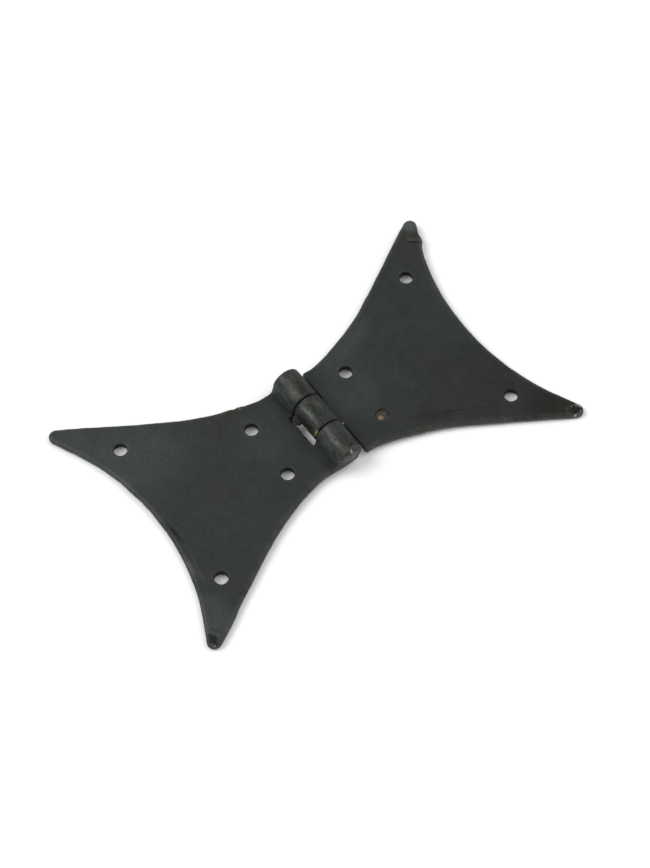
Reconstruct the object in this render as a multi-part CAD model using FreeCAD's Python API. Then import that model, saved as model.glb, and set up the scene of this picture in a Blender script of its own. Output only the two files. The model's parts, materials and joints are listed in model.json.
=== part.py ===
# Butterfly hinge: two flared sheet-steel leaves with rolled knuckles, turning on a pin peened at both ends.
# Millimetres. X runs across the leaves, Y along the pin, Z up from the leaves' backs to their fronts.
# The origin lies on the back plane, under the middle of the pin.

import FreeCAD
import Part
import math
import os

# Sheet and outline of a leaf
LEAF_THICKNESS = 2.0
LEAF_REACH = 64.0        # pin axis to the tips
LEAF_HEIGHT = 82.5       # tip to tip, along the pin
TIP_RADIUS = 2.0
END_HOLLOW = 10.3        # depth of the curve between a leaf's two tips
NECK_RUN = 3.2           # length of the parallel neck, from the shoulders to where it begins to flare
FLARE_DIP = 14.8         # degrees that the flare sets off below the straight line from neck to tip
FLARE_RISE = 4.8         # degrees that the flare meets the tip above that line
FRONT_BEVEL = 0.35       # filed edge along the front of the outline

# Screw holes of a leaf, in a pair near the pin and a wider pair near the tips
HOLE_DIAMETER = 3.9
HOLE_BREAK = 0.2         # broken edge round the front of a hole
NEAR_HOLE_SET = 7.4      # near pair beyond the neck
NEAR_HOLE_INSET = 6.8    # near pair in from the neck's sides
FAR_HOLE_SET = 14.2      # far pair back from the tips
FAR_HOLE_INSET = 16.4    # far pair in from the tips, along the pin

# Pin, knuckles and their clearances
PIN_DIAMETER = 4.8
PIN_CLEARANCE = 0.06     # all round the pin, in every knuckle
KNUCKLE_LENGTH = 10.1
KNUCKLE_GAP = 0.45       # between neighbouring knuckles
SEAM_GAP = 0.15          # between a knuckle's rolled edge and the front of its own leaf
ROLL_LEAVE = 98.0        # degrees from straight down where a roll leaves the round and runs straight to its seam
SLOT_CLEARANCE = 0.95    # two-knuckle leaf to the centre knuckle in its slot
SHOULDER_CLEARANCE = 1.3  # one-knuckle leaf's shoulders to the outer knuckles
SHOULDER_ROUND = 0.7     # rounded corners of those shoulders
HEAD_COVER = 1.7         # how far the peened ends of the pin spread over the knuckles
HEAD_RIM = 0.3
HEAD_CROWN = 0.7

# Sizes that follow from those
BORE_RADIUS = PIN_DIAMETER / 2 + PIN_CLEARANCE
BARREL_RADIUS = BORE_RADIUS + LEAF_THICKNESS
BARREL_LENGTH = 3 * KNUCKLE_LENGTH + 2 * KNUCKLE_GAP
NECK_HALF = BARREL_LENGTH / 2
SHOULDER_REACH = BARREL_RADIUS + SHOULDER_CLEARANCE
SLOT_REACH = BARREL_RADIUS + SLOT_CLEARANCE
NECK_REACH = SHOULDER_REACH + NECK_RUN


def polar(centre, radius, angle):
    """Point in the XY plane at a radius and an angle in radians from a centre."""
    return centre + FreeCAD.Vector(radius * math.cos(angle), radius * math.sin(angle), 0)


def flipped(point):
    """The same point on the other side of the X axis."""
    return FreeCAD.Vector(point.x, -point.y, point.z)


def half_outline(inner_reach):
    """Corner points and arcs of the outline's +Y half, from the inner edge to the middle of the end.

    The flare is an arc that sets off from the neck, then runs straight to the rounded tip. The end is
    one hollow arc that touches both tips.
    """
    neck = FreeCAD.Vector(NECK_REACH, NECK_HALF, 0)
    tip = FreeCAD.Vector(LEAF_REACH - TIP_RADIUS, LEAF_HEIGHT / 2 - TIP_RADIUS, 0)
    to_tip = tip - neck
    straight = math.atan2(to_tip.y, to_tip.x) + math.asin(TIP_RADIUS / to_tip.Length)
    leave = straight - math.radians(FLARE_DIP)
    arrive = straight + math.radians(FLARE_RISE)
    turn = arrive - leave
    tip_start = polar(tip, TIP_RADIUS, arrive + math.pi / 2)

    # The flare's two tangents meet at a corner, and its arc runs from the neck to as far beyond that corner
    run = tip_start - neck
    corner_run = (run.x * math.sin(arrive) - run.y * math.cos(arrive)) / math.sin(turn)
    corner = polar(neck, corner_run, leave)
    flare_radius = corner_run / math.tan(turn / 2)
    flare_centre = polar(neck, flare_radius, leave + math.pi / 2)
    flare_middle = polar(flare_centre, flare_radius, (leave + arrive) / 2 - math.pi / 2)
    flare_end = polar(corner, corner_run, arrive)

    # The end arc touches both tips, so its radius follows from its depth
    end_radius = ((END_HOLLOW - TIP_RADIUS) ** 2 + tip.y ** 2 - TIP_RADIUS ** 2) / (2 * END_HOLLOW)
    end_middle = FreeCAD.Vector(LEAF_REACH - END_HOLLOW, 0, 0)
    to_end = end_middle + FreeCAD.Vector(end_radius, 0, 0) - tip
    touch = math.atan2(to_end.y, to_end.x)
    tip_middle = polar(tip, TIP_RADIUS, (arrive + math.pi / 2 + touch) / 2)
    tip_end = polar(tip, TIP_RADIUS, touch)

    inner = FreeCAD.Vector(inner_reach, NECK_HALF, 0)
    runs = [(inner, neck), (neck, flare_middle, flare_end), (flare_end, tip_start)]
    runs.append((tip_start, tip_middle, tip_end))
    return runs, end_middle


def edge_through(points):
    """A line through two points, or an arc through three."""
    curve = Part.LineSegment(*points) if len(points) == 2 else Part.Arc(*points)
    return curve.toShape()


def flat_leaf(inner_reach):
    """The flat of a leaf on the +X side, beyond its inner edge, with a filed bevel round its front."""
    upper, end_middle = half_outline(inner_reach)
    lower = [tuple(flipped(point) for point in reversed(run)) for run in reversed(upper)]
    end = (upper[-1][-1], end_middle, lower[0][0])
    inner = (lower[-1][-1], upper[0][0])
    wire = Part.Wire([edge_through(points) for points in upper + [end] + lower + [inner]])
    plate = Part.Face(wire).extrude(FreeCAD.Vector(0, 0, LEAF_THICKNESS))

    def on_front_outline(edge):
        box = edge.BoundBox
        on_front = box.ZMin > LEAF_THICKNESS / 2
        on_inner_edge = box.XMax < (inner_reach + NECK_REACH) / 2
        return on_front and not on_inner_edge

    return plate.makeChamfer(FRONT_BEVEL, [edge for edge in plate.Edges if on_front_outline(edge)])


def knuckle(root_reach, start):
    """A tongue of the +X leaf that runs under the pin and is rolled round it to a seam on its own front.

    It runs along Y from start, for one knuckle's length. The last stretch of the roll stays straight.
    """
    axis = FreeCAD.Vector(0, start, BARREL_RADIUS)
    leave = math.radians(ROLL_LEAVE)
    seam_height = LEAF_THICKNESS + SEAM_GAP

    def on_roll(radius, angle):
        """Point of the roll at an angle from straight down, towards +X."""
        return axis + FreeCAD.Vector(radius * math.sin(angle), 0, -radius * math.cos(angle))

    def at_seam(point):
        """Point where the straight stretch from a point of the roll meets the seam."""
        run = (point.z - seam_height) / math.sin(leave)
        return point - FreeCAD.Vector(run * math.cos(leave), 0, run * math.sin(leave))

    half_roll = leave / 2 + math.pi
    outside = [on_roll(BARREL_RADIUS, angle) for angle in (0, half_roll, leave)]
    inside = [on_roll(BORE_RADIUS, angle) for angle in (leave, half_roll, 0)]
    lip = [outside[-1], at_seam(outside[-1]), at_seam(inside[0]), inside[0]]
    root_back = FreeCAD.Vector(root_reach, start, 0)
    root_front = FreeCAD.Vector(root_reach, start, LEAF_THICKNESS)
    runs = [(root_back, outside[0]), outside, *zip(lip, lip[1:]), inside]
    runs += [(inside[-1], root_front), (root_front, root_back)]
    wire = Part.Wire([edge_through(points) for points in runs])
    return Part.Face(wire).extrude(FreeCAD.Vector(0, KNUCKLE_LENGTH, 0))


def screw_hole(reach, side):
    """Cutter for one screw hole with a broken front edge."""
    radius = HOLE_DIAMETER / 2
    foot = FreeCAD.Vector(reach, side, 0)
    drill = Part.makeCylinder(radius, LEAF_THICKNESS, foot)
    rim = foot + FreeCAD.Vector(0, 0, LEAF_THICKNESS - HOLE_BREAK)
    return drill.fuse(Part.makeCone(radius, radius + HOLE_BREAK, HOLE_BREAK, rim))


def leaf(inner_reach, knuckle_starts):
    """A whole leaf on the +X side: its flat, its knuckles and its screw holes."""
    shape = flat_leaf(inner_reach).fuse([knuckle(inner_reach, start) for start in knuckle_starts])
    near = (NECK_REACH + NEAR_HOLE_SET, NECK_HALF - NEAR_HOLE_INSET)
    far = (LEAF_REACH - FAR_HOLE_SET, LEAF_HEIGHT / 2 - FAR_HOLE_INSET)
    holes = [screw_hole(reach, side * half) for reach, half in (near, far) for side in (1, -1)]
    return shape.removeSplitter().cut(holes)


def corner_cutter(side):
    """Cutter that rounds off a shoulder's square corner, on the +Y side (1) or the -Y side (-1)."""
    corner = FreeCAD.Vector(SHOULDER_REACH, NECK_HALF - SHOULDER_ROUND, 0)
    centre = corner + FreeCAD.Vector(SHOULDER_ROUND, 0, 0)
    square = Part.makeBox(SHOULDER_ROUND, SHOULDER_ROUND, LEAF_THICKNESS, corner)
    cutter = square.cut(Part.makeCylinder(SHOULDER_ROUND, LEAF_THICKNESS, centre))
    if side < 0:
        cutter = cutter.mirror(FreeCAD.Vector(0, 0, 0), FreeCAD.Vector(0, 1, 0))
    return cutter


def one_knuckle_leaf():
    """The leaf with the centre knuckle and two rounded shoulders beside it, on the +X side."""
    shape = leaf(SHOULDER_REACH, [-KNUCKLE_LENGTH / 2])
    return shape.cut([corner_cutter(side) for side in (1, -1)])


def two_knuckle_leaf():
    """The leaf with the outer knuckles and a slot between them, on the -X side."""
    starts = [-BARREL_LENGTH / 2, BARREL_LENGTH / 2 - KNUCKLE_LENGTH]
    shape = leaf(SLOT_REACH, starts)
    shape.rotate(FreeCAD.Vector(0, 0, 0), FreeCAD.Vector(0, 0, 1), 180)
    return shape


def hinge_pin():
    """The pin, with a low domed head peened over the outer end of each outer knuckle."""
    head_radius = PIN_DIAMETER / 2 + HEAD_COVER
    shank_end = BARREL_LENGTH / 2
    rim_end = shank_end + HEAD_RIM
    crown_end = rim_end + HEAD_CROWN
    dome_radius = (head_radius ** 2 + HEAD_CROWN ** 2) / (2 * HEAD_CROWN)
    half_dome = math.asin(head_radius / dome_radius) / 2

    def at(radius, along):
        """Point beside the pin's axis."""
        return FreeCAD.Vector(radius, along, BARREL_RADIUS)

    dome_middle = at(dome_radius * math.sin(half_dome), crown_end - dome_radius * (1 - math.cos(half_dome)))
    dome = (at(0, crown_end), dome_middle, at(head_radius, rim_end))
    rim = (at(head_radius, rim_end), at(head_radius, shank_end))
    seat = (at(head_radius, shank_end), at(PIN_DIAMETER / 2, shank_end))
    upper = [dome, rim, seat]
    lower = [tuple(flipped(point) for point in reversed(run)) for run in reversed(upper)]
    shank = (upper[-1][-1], lower[0][0])
    core = (lower[-1][-1], upper[0][0])
    wire = Part.Wire([edge_through(points) for points in upper + [shank] + lower + [core]])
    return Part.Face(wire).revolve(at(0, 0), FreeCAD.Vector(0, 1, 0), 360)


NODES = {
    "two_knuckle_leaf": two_knuckle_leaf,
    "one_knuckle_leaf": one_knuckle_leaf,
    "hinge_pin": hinge_pin,
}

os.makedirs("parts", exist_ok=True)
for name, build in NODES.items():
    solid = build()
    solid.exportStep("parts/" + name + ".step")
    state = "valid" if solid.isValid() else "not valid"
    print(name, len(solid.Solids), "solid", state, round(solid.Volume, 1))
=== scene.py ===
"""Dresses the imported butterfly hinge: two forged leaves in dark waxed steel on a peened pin.

The frame gives the pieces, their places and the hinge axis. Each piece is grown here into a fine mesh and
worked as a smith would leave it, with hammered edges, burrs, pits and rust, then lit in a pale studio.
Lengths are millimetres until a mesh, lamp or camera is made, and metres from there on.
"""

import itertools
import json
import logging
import math
from collections.abc import Mapping, Sequence
from dataclasses import dataclass, field
from enum import Enum
from functools import partial
from typing import Any, NamedTuple

import bpy
import numpy as np
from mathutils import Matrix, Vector
from mathutils.kdtree import KDTree

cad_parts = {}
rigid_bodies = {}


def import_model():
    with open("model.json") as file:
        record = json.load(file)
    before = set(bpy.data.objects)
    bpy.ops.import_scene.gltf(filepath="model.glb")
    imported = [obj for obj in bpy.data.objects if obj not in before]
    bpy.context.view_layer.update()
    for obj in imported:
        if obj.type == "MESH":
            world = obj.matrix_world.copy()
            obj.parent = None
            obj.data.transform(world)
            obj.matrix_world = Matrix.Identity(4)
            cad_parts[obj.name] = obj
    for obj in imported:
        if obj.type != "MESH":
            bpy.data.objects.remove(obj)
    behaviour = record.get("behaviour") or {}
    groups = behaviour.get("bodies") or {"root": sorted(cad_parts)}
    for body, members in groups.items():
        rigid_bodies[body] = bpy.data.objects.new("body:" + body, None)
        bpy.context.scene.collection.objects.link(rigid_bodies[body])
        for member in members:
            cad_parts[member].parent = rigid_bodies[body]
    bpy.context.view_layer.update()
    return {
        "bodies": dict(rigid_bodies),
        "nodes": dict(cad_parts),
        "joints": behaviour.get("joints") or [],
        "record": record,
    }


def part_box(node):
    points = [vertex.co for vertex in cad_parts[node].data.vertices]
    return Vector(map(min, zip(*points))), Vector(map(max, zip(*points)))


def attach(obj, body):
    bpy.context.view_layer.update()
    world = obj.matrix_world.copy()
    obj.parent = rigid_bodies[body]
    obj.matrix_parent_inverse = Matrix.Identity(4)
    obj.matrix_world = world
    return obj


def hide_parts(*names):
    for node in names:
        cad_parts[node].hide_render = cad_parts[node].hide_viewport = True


MM = 0.001
SHEET = 2.0
WHITE = (1.0, 1.0, 1.0, 1.0)

Point = tuple[float, float, float]
Spot = tuple[float, float]
Array = np.ndarray

log = logging.getLogger("butterfly_hinge")


class MarkEdge(Enum):
    """How the border of a stain or patch runs."""

    SOFT = "soft"
    RAGGED = "ragged"


class Hand(Enum):
    """The side of the pin that a leaf lies on, along X."""

    LEFT = -1
    RIGHT = 1


class Signal:
    """A shader socket that takes part in Python arithmetic, one Math node for each operator."""

    def __init__(self, graph: "Graph", socket: bpy.types.NodeSocket | None) -> None:
        """Keep the socket and the graph that it belongs to."""
        self.graph = graph
        self.socket = socket

    def _math(self, operation: str, first: "Value", second: "Value") -> "Signal":
        """Add one Math node."""
        return self.graph.node("ShaderNodeMath", {"operation": operation}, {0: first, 1: second})

    def __add__(self, other: "Value") -> "Signal":
        """Sum of this value and another."""
        return self._math("ADD", self, other)

    def __sub__(self, other: "Value") -> "Signal":
        """This value less another."""
        return self._math("SUBTRACT", self, other)

    def __rsub__(self, other: "Value") -> "Signal":
        """Another value less this one."""
        return self._math("SUBTRACT", other, self)

    def __mul__(self, other: "Value") -> "Signal":
        """Product of this value and another."""
        return self._math("MULTIPLY", self, other)

    __radd__ = __add__
    __rmul__ = __mul__


Value = Signal | float


class Pattern(NamedTuple):
    """A noise: the size of its largest lumps in millimetres, its finer layers and its seed."""

    cell: float
    detail: float
    seed: float


class Graph:
    """The node tree of one material or world, built one node at a time."""

    def __init__(self, tree: bpy.types.NodeTree) -> None:
        """Start from an empty tree."""
        self.tree = tree
        tree.nodes.clear()

    @staticmethod
    def _socket(sockets: Any, key: str | int) -> bpy.types.NodeSocket:
        """Find a socket.

        Args:
            sockets: A node's inputs or outputs.
            key: The socket's index, identifier or name.

        Returns:
            The socket.
        """
        if isinstance(key, int):
            return sockets[key]
        return next((socket for socket in sockets if socket.identifier == key), None) or sockets[key]

    def node(
        self,
        kind: str,
        settings: Mapping[str, Any] | None = None,
        sockets: Mapping[str | int, Any] | None = None,
        output: str | int | None = 0,
    ) -> Signal:
        """Add a node.

        Args:
            kind: The node's type.
            settings: Its own properties, set before its sockets.
            sockets: Values or signals for its inputs, by index, identifier or name.
            output: The output to hand back, or None for a node that has none.

        Returns:
            That output, ready for arithmetic.
        """
        made = self.tree.nodes.new(kind)
        for name, value in (settings or {}).items():
            setattr(made, name, value)
        for key, value in (sockets or {}).items():
            socket = self._socket(made.inputs, key)
            if isinstance(value, Signal):
                self.tree.links.new(value.socket, socket)
            else:
                socket.default_value = value
        return Signal(self, None if output is None else self._socket(made.outputs, output))

    def noise(self, where: Signal, pattern: Pattern, output: str = "Fac") -> Signal:
        """Add a noise texture.

        Args:
            where: The place that it is read at.
            pattern: Its lumps, layers and seed.
            output: Its value or its colour.

        Returns:
            The noise, about 0.5 in the mean.
        """
        scale = 1.0 / (pattern.cell * MM)
        sockets = {"Vector": where, "W": pattern.seed, "Scale": scale, "Detail": pattern.detail}
        return self.node("ShaderNodeTexNoise", {"noise_dimensions": "4D"}, sockets, output)

    def step(self, value: Signal, low: float, high: float) -> Signal:
        """Ease a value from 0 at low to 1 at high, which may be the smaller of the two."""
        sockets = {"Value": value, "From Min": low, "From Max": high}
        return self.node("ShaderNodeMapRange", {"interpolation_type": "SMOOTHSTEP"}, sockets)

    def mix(self, share: Value, first: Any, second: Any, blend: str = "MIX") -> Signal:
        """Blend two colours by a share of the second."""
        sockets = {"Factor_Float": share, "A_Color": first, "B_Color": second}
        return self.node("ShaderNodeMix", {"data_type": "RGBA", "blend_type": blend}, sockets, "Result_Color")

    def bump(self, height: Signal, depth: float, strength: float) -> Signal:
        """Turn heights into the normal of dents, whose depth is in millimetres."""
        sockets = {"Strength": strength, "Distance": depth * MM, "Height": height}
        return self.node("ShaderNodeBump", sockets=sockets)

    def close(self, shader: Signal, kind: str = "ShaderNodeOutputMaterial") -> None:
        """Join a shader to the tree's output."""
        self.node(kind, sockets={"Surface": shader}, output=None)


def placed(name: str, data: bpy.types.ID) -> bpy.types.Object:
    """Make an object in the scene.

    Args:
        name: The object's name.
        data: Its mesh, lamp or camera.

    Returns:
        The object.
    """
    made = bpy.data.objects.new(name, data)
    bpy.context.scene.collection.objects.link(made)
    return made


def new_material(name: str) -> tuple[bpy.types.Material, Graph]:
    """Make a material and the graph of its nodes.

    Args:
        name: The material's name.

    Returns:
        The material and its empty graph.
    """
    material = bpy.data.materials.new(name)
    material.use_nodes = True
    return material, Graph(material.node_tree)


@dataclass(frozen=True)
class Tone:
    """A colour as it looks on a screen, each part from 0 to 255."""

    red: float
    green: float
    blue: float

    def linear(self) -> tuple[float, float, float, float]:
        """Work out the colour for a shader socket.

        Returns:
            The colour in linear units, opaque.
        """
        parts = (part / 255.0 for part in (self.red, self.green, self.blue))
        shares = (p / 12.92 if p <= 0.04045 else ((p + 0.055) / 1.055) ** 2.4 for p in parts)
        return (*shares, 1.0)


@dataclass(frozen=True)
class Mark:
    """A stain, patch, bare spot, painted highlight or painted shade at one place of a piece."""

    place: Point
    reach: Point
    tone: Tone
    strength: float
    edge: MarkEdge = MarkEdge.SOFT
    turn: float = 0.0
    dulls: float = 0.0

    CORE = 0.15

    def mask(self, graph: Graph, smooth: Signal, ragged: Signal) -> Signal:
        """Work out where the mark lies.

        Args:
            graph: The material's graph.
            smooth: The piece's own coordinates.
            ragged: The same coordinates, shaken.

        Returns:
            The mark's strength at each point of the surface.
        """
        sockets = {
            "Vector": ragged if self.edge is MarkEdge.RAGGED else smooth,
            "Location": tuple(length * MM for length in self.place),
            "Rotation": (0.0, 0.0, math.radians(self.turn)),
            "Scale": tuple(length * MM for length in self.reach),
        }
        local = graph.node("ShaderNodeMapping", {"vector_type": "TEXTURE"}, sockets)
        away = graph.node("ShaderNodeVectorMath", {"operation": "LENGTH"}, {0: local}, "Value")
        return graph.step(away, 1.0, self.CORE) * self.strength


@dataclass(frozen=True)
class WaxedSteel:
    """Forged steel, blackened and waxed: mottled grey-green, with cool and warm clouds, worn edges, and
    painted shade in creases and screw holes.
    """

    name: str
    roll_height: float
    ground: Tone = Tone(50, 54, 51)
    cool: Tone = Tone(49, 55, 56)
    warm: Tone = Tone(53, 53, 49)
    # The worn tone lightens rubbed edges and every edge wall. On the walls it is partly bare sheared steel
    # and partly painted light from the floor.
    worn: Tone = Tone(84, 84, 79)
    # Painted shade, laid into creases and onto the walls of the screw holes.
    recess_shade: Tone = Tone(24, 26, 24)
    marks: tuple[Mark, ...] = ()
    metallic: float = 0.35
    specular: float = 0.22
    roughness: float = 0.55
    uneven_roughness: float = 0.16
    worn_polish: float = 0.08
    streak_roughness: float = 0.3
    shake: float = 0.9
    dent_depth: float = 0.02
    dent_strength: float = 0.5
    warm_share: float = 0.8
    recess_shade_share: float = 0.75
    worn_share: float = 0.55
    mottle_shade: float = 0.5
    grain_shade: float = 0.6
    streak_shade: float = 2.6
    speckle_share: float = 0.6

    CLOUD = Pattern(26.0, 2.0, 1.0)
    STAIN = Pattern(17.0, 3.0, 7.0)
    MOTTLE = Pattern(4.5, 4.0, 13.0)
    GRAIN = Pattern(0.8, 3.0, 19.0)
    SHAKE = Pattern(1.6, 2.0, 29.0)
    STREAK = Pattern(2.1, 4.0, 37.0)
    SPECKLE = Pattern(0.75, 2.0, 43.0)
    COOL_SPAN = (0.42, 0.6)
    WARM_SPAN = (0.52, 0.7)
    WORN_SPAN = (0.3, 0.62)
    DENT_SHARES = (0.6, 0.4, 2.0)
    STREAK_STRETCH = (1.0, 0.42, 1.0)
    ROLL_REACH = (9.0, 90.0, 9.0)
    ROLL_STRENGTH = 1.5

    def material(self) -> bpy.types.Material:
        """Build the finish.

        Returns:
            The finished material.
        """
        material, graph = new_material(self.name)
        place = graph.node("ShaderNodeTexCoord", output="Object")
        patterns = (self.CLOUD, self.STAIN, self.MOTTLE, self.GRAIN)
        cloud, stain, mottle, grain = (graph.noise(place, pattern) for pattern in patterns)
        worn, deep = (
            graph.node("ShaderNodeAttribute", {"attribute_name": name}, output="Fac")
            for name in (Skin.WORN, Skin.DEEP)
        )
        ragged = self._shaken(graph, place)
        streaks = self._streaks(graph, place)

        colour = graph.mix(graph.step(cloud, *self.COOL_SPAN), self.ground.linear(), self.cool.linear())
        warmth = graph.step(stain, *self.WARM_SPAN) * self.warm_share
        colour = graph.mix(warmth, colour, self.warm.linear())
        roughness = self.roughness + self.uneven_roughness * (mottle - 0.5)
        for mark in self.marks:
            mask = mark.mask(graph, place, ragged)
            colour = graph.mix(mask, colour, mark.tone.linear())
            if mark.dulls:
                roughness = roughness + mask * mark.dulls
        # Painted shade in creases and screw holes.
        colour = graph.mix(deep * self.recess_shade_share, colour, self.recess_shade.linear())
        rubbed = worn * graph.step(mottle, *self.WORN_SPAN) * self.worn_share
        colour = graph.mix(rubbed, colour, self.worn.linear())
        shade = 1.0 + self.mottle_shade * (mottle - 0.5) + self.grain_shade * (grain - 0.5)
        colour = graph.mix(1.0, colour, shade + self.streak_shade * streaks, "MULTIPLY")

        mottled, grained, streaked = self.DENT_SHARES
        height = mottled * mottle + grained * grain + streaked * streaks
        sockets = {
            "Base Color": colour,
            "Metallic": self.metallic,
            "Roughness": roughness - self.worn_polish * worn + self.streak_roughness * streaks,
            "Specular IOR Level": self.specular,
            "Normal": graph.bump(height, self.dent_depth, self.dent_strength),
        }
        graph.close(graph.node("ShaderNodeBsdfPrincipled", sockets=sockets))
        return material

    def _shaken(self, graph: Graph, place: Signal) -> Signal:
        """Shake the coordinates, so that the borders of stains wander.

        Args:
            graph: The material's graph.
            place: The piece's own coordinates.

        Returns:
            The shaken coordinates.
        """
        wander = graph.noise(place, self.SHAKE, "Color")
        centred = {0: wander, 1: (0.5, 0.5, 0.5)}
        swing = graph.node("ShaderNodeVectorMath", {"operation": "SUBTRACT"}, centred)
        moved = {0: swing, 1: (2.0 * self.shake * MM,) * 3, 2: place}
        return graph.node("ShaderNodeVectorMath", {"operation": "MULTIPLY_ADD"}, moved)

    def _streaks(self, graph: Graph, place: Signal) -> Signal:
        """Draw the hammered streaks and specks that run along the rolled barrel.

        Args:
            graph: The material's graph.
            place: The piece's own coordinates.

        Returns:
            Streaks about nought, none away from the barrel.
        """
        drawn = graph.node("ShaderNodeMapping", sockets={"Vector": place, "Scale": self.STREAK_STRETCH})
        rolled = Mark((0.0, 0.0, self.roll_height), self.ROLL_REACH, self.ground, self.ROLL_STRENGTH)
        specks = self.speckle_share * (graph.noise(place, self.SPECKLE) - 0.5)
        return rolled.mask(graph, place, place) * (graph.noise(drawn, self.STREAK) - 0.5 + specks)


@dataclass(frozen=True)
class CakedWax:
    """Old wax and rust caked in a hole: dark brown with a golden crust."""

    name: str
    dark: Tone = Tone(36, 33, 25)
    brown: Tone = Tone(54, 49, 38)
    gold: Tone = Tone(124, 112, 76)
    roughness: float = 0.55
    crumb_depth: float = 0.05
    crumb_strength: float = 0.4

    CRUMB = Pattern(0.7, 3.0, 3.0)
    BROWN_SPAN = (0.4, 0.65)

    def material(self, lump: Point, lump_reach: Point) -> bpy.types.Material:
        """Build the finish.

        Args:
            lump: Place of the golden crust.
            lump_reach: Half sizes of the crust.

        Returns:
            The finished material.
        """
        material, graph = new_material(self.name)
        place = graph.node("ShaderNodeTexCoord", output="Object")
        crumb = graph.noise(place, self.CRUMB)
        crust = Mark(lump, lump_reach, self.gold, 1.0)
        colour = graph.mix(graph.step(crumb, *self.BROWN_SPAN), self.dark.linear(), self.brown.linear())
        colour = graph.mix(crust.mask(graph, place, place), colour, self.gold.linear())
        normal = graph.bump(crumb, self.crumb_depth, self.crumb_strength)
        sockets = {"Base Color": colour, "Roughness": self.roughness, "Normal": normal}
        graph.close(graph.node("ShaderNodeBsdfPrincipled", sockets=sockets))
        return material


def scrambled(cells: Array, seed: int) -> Array:
    """Give each lattice cell a fixed value of its own.

    Args:
        cells: Whole-number cells, one row each.
        seed: Chooses the pattern.

    Returns:
        One value from -1 to 1 for each cell.
    """
    key = (cells * np.array((73856093, 19349663, 83492791))).sum(axis=1) + seed * 7919
    for _ in range(2):
        key &= 0xFFFFFFFF
        key = ((key >> 16) ^ key) * 0x45D9F3B
    return ((key >> 8) & 0xFFFF) / 32767.5 - 1.0


def lumpy(points: Array, cell: float, seed: int) -> Array:
    """Smooth noise over points.

    Args:
        points: Places in millimetres, one row each.
        cell: Size of a lump in millimetres.
        seed: Chooses the pattern.

    Returns:
        One value from -1 to 1 for each point.
    """
    scaled = points / cell
    base = np.floor(scaled).astype(np.int64)
    share = scaled - base
    share = share * share * (3.0 - 2.0 * share)
    total = np.zeros(len(points))
    for corner in itertools.product((0, 1), repeat=3):
        weight = np.where(np.array(corner, bool), share, 1.0 - share).prod(axis=1)
        total += weight * scrambled(base + np.array(corner), seed)
    return total


def layered(points: Array, layers: Sequence[tuple[float, int, float]]) -> Array:
    """Sum of smooth noises over points, each by its cell, its seed and its share."""
    return sum(share * lumpy(points, cell, seed) for cell, seed, share in layers)


def ease(values: Array, low: float, high: float) -> Array:
    """Ease values from 0 at low to 1 at high."""
    share = np.clip((values - low) / (high - low), 0.0, 1.0)
    return share * share * (3.0 - 2.0 * share)


def bell(values: Array, width: float) -> Array:
    """A bell curve, 1 at nought and about a third at the width."""
    return np.exp(-((values / width) ** 2))


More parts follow.
